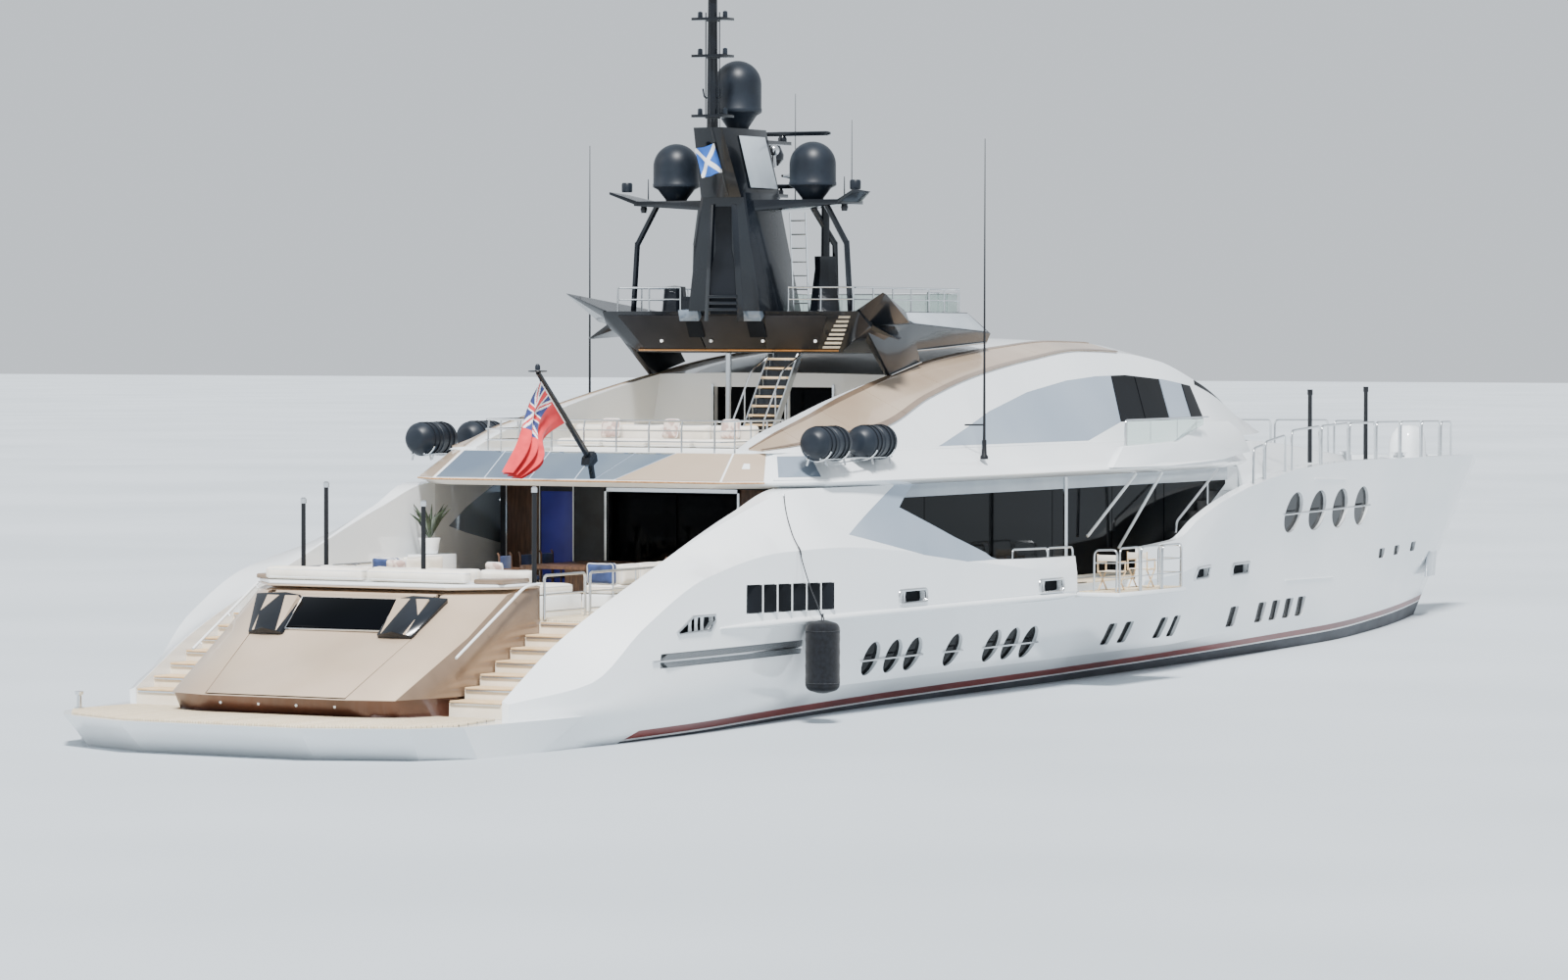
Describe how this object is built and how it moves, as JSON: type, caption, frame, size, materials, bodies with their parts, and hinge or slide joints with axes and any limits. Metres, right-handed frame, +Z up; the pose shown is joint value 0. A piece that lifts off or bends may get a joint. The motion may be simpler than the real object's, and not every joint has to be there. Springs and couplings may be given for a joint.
{
  "type": "scale model motor yacht",
  "caption": "Long low motor yacht model with a swim platform, curved side wings, arched bridge house, dark hardtop with mast and domes, fold-out balcony.",
  "frame": {"origin": "on the centreline at half the overall length, at the waterline", "axes": "+X forward to the bow, +Y to port, +Z up"},
  "size_m": [32.5002, 6.09, 9.1552],
  "materials": {
    "white_paint": "high-gloss white",
    "antifouling": "matt dark grey antifouling under a red boot band",
    "champagne_bronze": "satin metallic champagne",
    "teak": "pale scrubbed teak",
    "black_paint": "glossy blue-black",
    "slate_paint": "satin slate grey",
    "blue_grey_panel": "blue-grey mirror-tinted panels",
    "dark_glass": "near-black tinted glass",
    "stainless_steel": "polished",
    "black_rubber": "matt black cover",
    "cream_cushion": "cream canvas",
    "red_cloth": "red cloth",
    "propeller_bronze": "polished nickel bronze"
  },
  "bodies": {
    "hull": {"aft_cushions": "cream_cushion", "aft_sofa": "white_paint", "bow_rail_port": "stainless_steel", "bow_rail_starboard": "stainless_steel", "bridge_house": "white_paint", "bridge_windows_port": "blue_grey_panel", "bridge_windows_starboard": "blue_grey_panel", "bronze_band_port": "champagne_bronze", "bronze_band_starboard": "champagne_bronze", "bulwark_aft_port": "white_paint", "bulwark_aft_starboard": "white_paint", "bulwark_fore_port": "white_paint", "bulwark_fore_starboard": "white_paint", "ensign": "red_cloth", "ensign_staff": "black_paint", "fender": "black_rubber", "foredeck_trunk": "white_paint", "hardtop": "black_paint", "hull_topsides": "white_paint", "hull_underbody": "antifouling", "life_rafts_port": "slate_paint", "life_rafts_starboard": "slate_paint", "main_deck_teak": "teak", "main_deckhouse": "white_paint", "mast": "black_paint", "platform_teak": "teak", "radome_centre": "slate_paint", "radome_port": "slate_paint", "radome_starboard": "slate_paint", "saloon_windows_port": "dark_glass", "saloon_windows_starboard": "dark_glass", "side_screen_port": "blue_grey_panel", "side_screen_starboard": "blue_grey_panel", "stairs_port": "teak", "stairs_starboard": "teak", "sundeck_rail_port": "stainless_steel", "sundeck_rail_starboard": "stainless_steel", "sundeck_stairs": "stainless_steel", "transom_block": "champagne_bronze", "upper_cushions": "cream_cushion", "upper_deck": "white_paint", "upper_deck_rail": "stainless_steel", "upper_deck_teak": "teak", "upper_sofa": "white_paint", "whip_antenna_port": "black_paint", "whip_antenna_starboard": "black_paint", "windscreen": "dark_glass"},
    "transom_door": {"transom_door": "champagne_bronze", "transom_window": "dark_glass"},
    "balcony": {"balcony": "white_paint"},
    "saloon_door_starboard": {"saloon_door_starboard": "dark_glass"},
    "saloon_door_port": {"saloon_door_port": "dark_glass"},
    "lounge_door_starboard": {"lounge_door_starboard": "dark_glass"},
    "lounge_door_port": {"lounge_door_port": "dark_glass"},
    "propeller_starboard": {"propeller_starboard": "propeller_bronze"},
    "propeller_port": {"propeller_port": "propeller_bronze"},
    "rudder_starboard": {"rudder_starboard": "antifouling"},
    "rudder_port": {"rudder_port": "antifouling"},
    "upper_radar_array": {"upper_radar_array": "black_paint"},
    "lower_radar_array": {"lower_radar_array": "black_paint"}
  },
  "joints": [
    {"name": "transom_door_hinge", "type": "hinge", "parent": "hull", "child": "transom_door", "pos_m": [-13.7045, 0, 1.415], "axis": [0, 1, 0], "range_deg": [0, 60]},
    {"name": "balcony_hinge", "type": "hinge", "parent": "hull", "child": "balcony", "pos_m": [-2.325, -2.75, 1.0575], "axis": [-1, 0, 0], "range_deg": [0, 90]},
    {"name": "saloon_door_slide_starboard", "type": "slide", "parent": "hull", "child": "saloon_door_starboard", "axis": [0, -1, 0], "range_m": [0, 0.72]},
    {"name": "saloon_door_slide_port", "type": "slide", "parent": "hull", "child": "saloon_door_port", "axis": [0, 1, 0], "range_m": [0, 0.72]},
    {"name": "lounge_door_slide_starboard", "type": "slide", "parent": "hull", "child": "lounge_door_starboard", "axis": [0, -1, 0], "range_m": [0, 0.62]},
    {"name": "lounge_door_slide_port", "type": "slide", "parent": "hull", "child": "lounge_door_port", "axis": [0, 1, 0], "range_m": [0, 0.62]},
    {"name": "propeller_spin_starboard", "type": "hinge", "parent": "hull", "child": "propeller_starboard", "pos_m": [-13.075, -1.05, -1.125], "axis": [1, 0, 0], "continuous": true},
    {"name": "propeller_spin_port", "type": "hinge", "parent": "hull", "child": "propeller_port", "pos_m": [-13.075, 1.05, -1.125], "axis": [1, 0, 0], "continuous": true},
    {"name": "rudder_turn_starboard", "type": "hinge", "parent": "hull", "child": "rudder_starboard", "pos_m": [-13.95, -1.05, -0.8], "axis": [0, 0, 1], "range_deg": [-35, 35]},
    {"name": "rudder_turn_port", "type": "hinge", "parent": "hull", "child": "rudder_port", "pos_m": [-13.95, 1.05, -0.8], "axis": [0, 0, 1], "range_deg": [-35, 35]},
    {"name": "upper_radar_spin", "type": "hinge", "parent": "hull", "child": "upper_radar_array", "pos_m": [-5.05, 0, 6.125], "axis": [0, 0, 1], "continuous": true},
    {"name": "lower_radar_spin", "type": "hinge", "parent": "hull", "child": "lower_radar_array", "pos_m": [-5.125, 0, 5.54], "axis": [0, 0, 1], "continuous": true}
  ],
  "couplings": [
    {"joint": "rudder_turn_port", "follows": "rudder_turn_starboard", "ratio": 1}
  ]
}
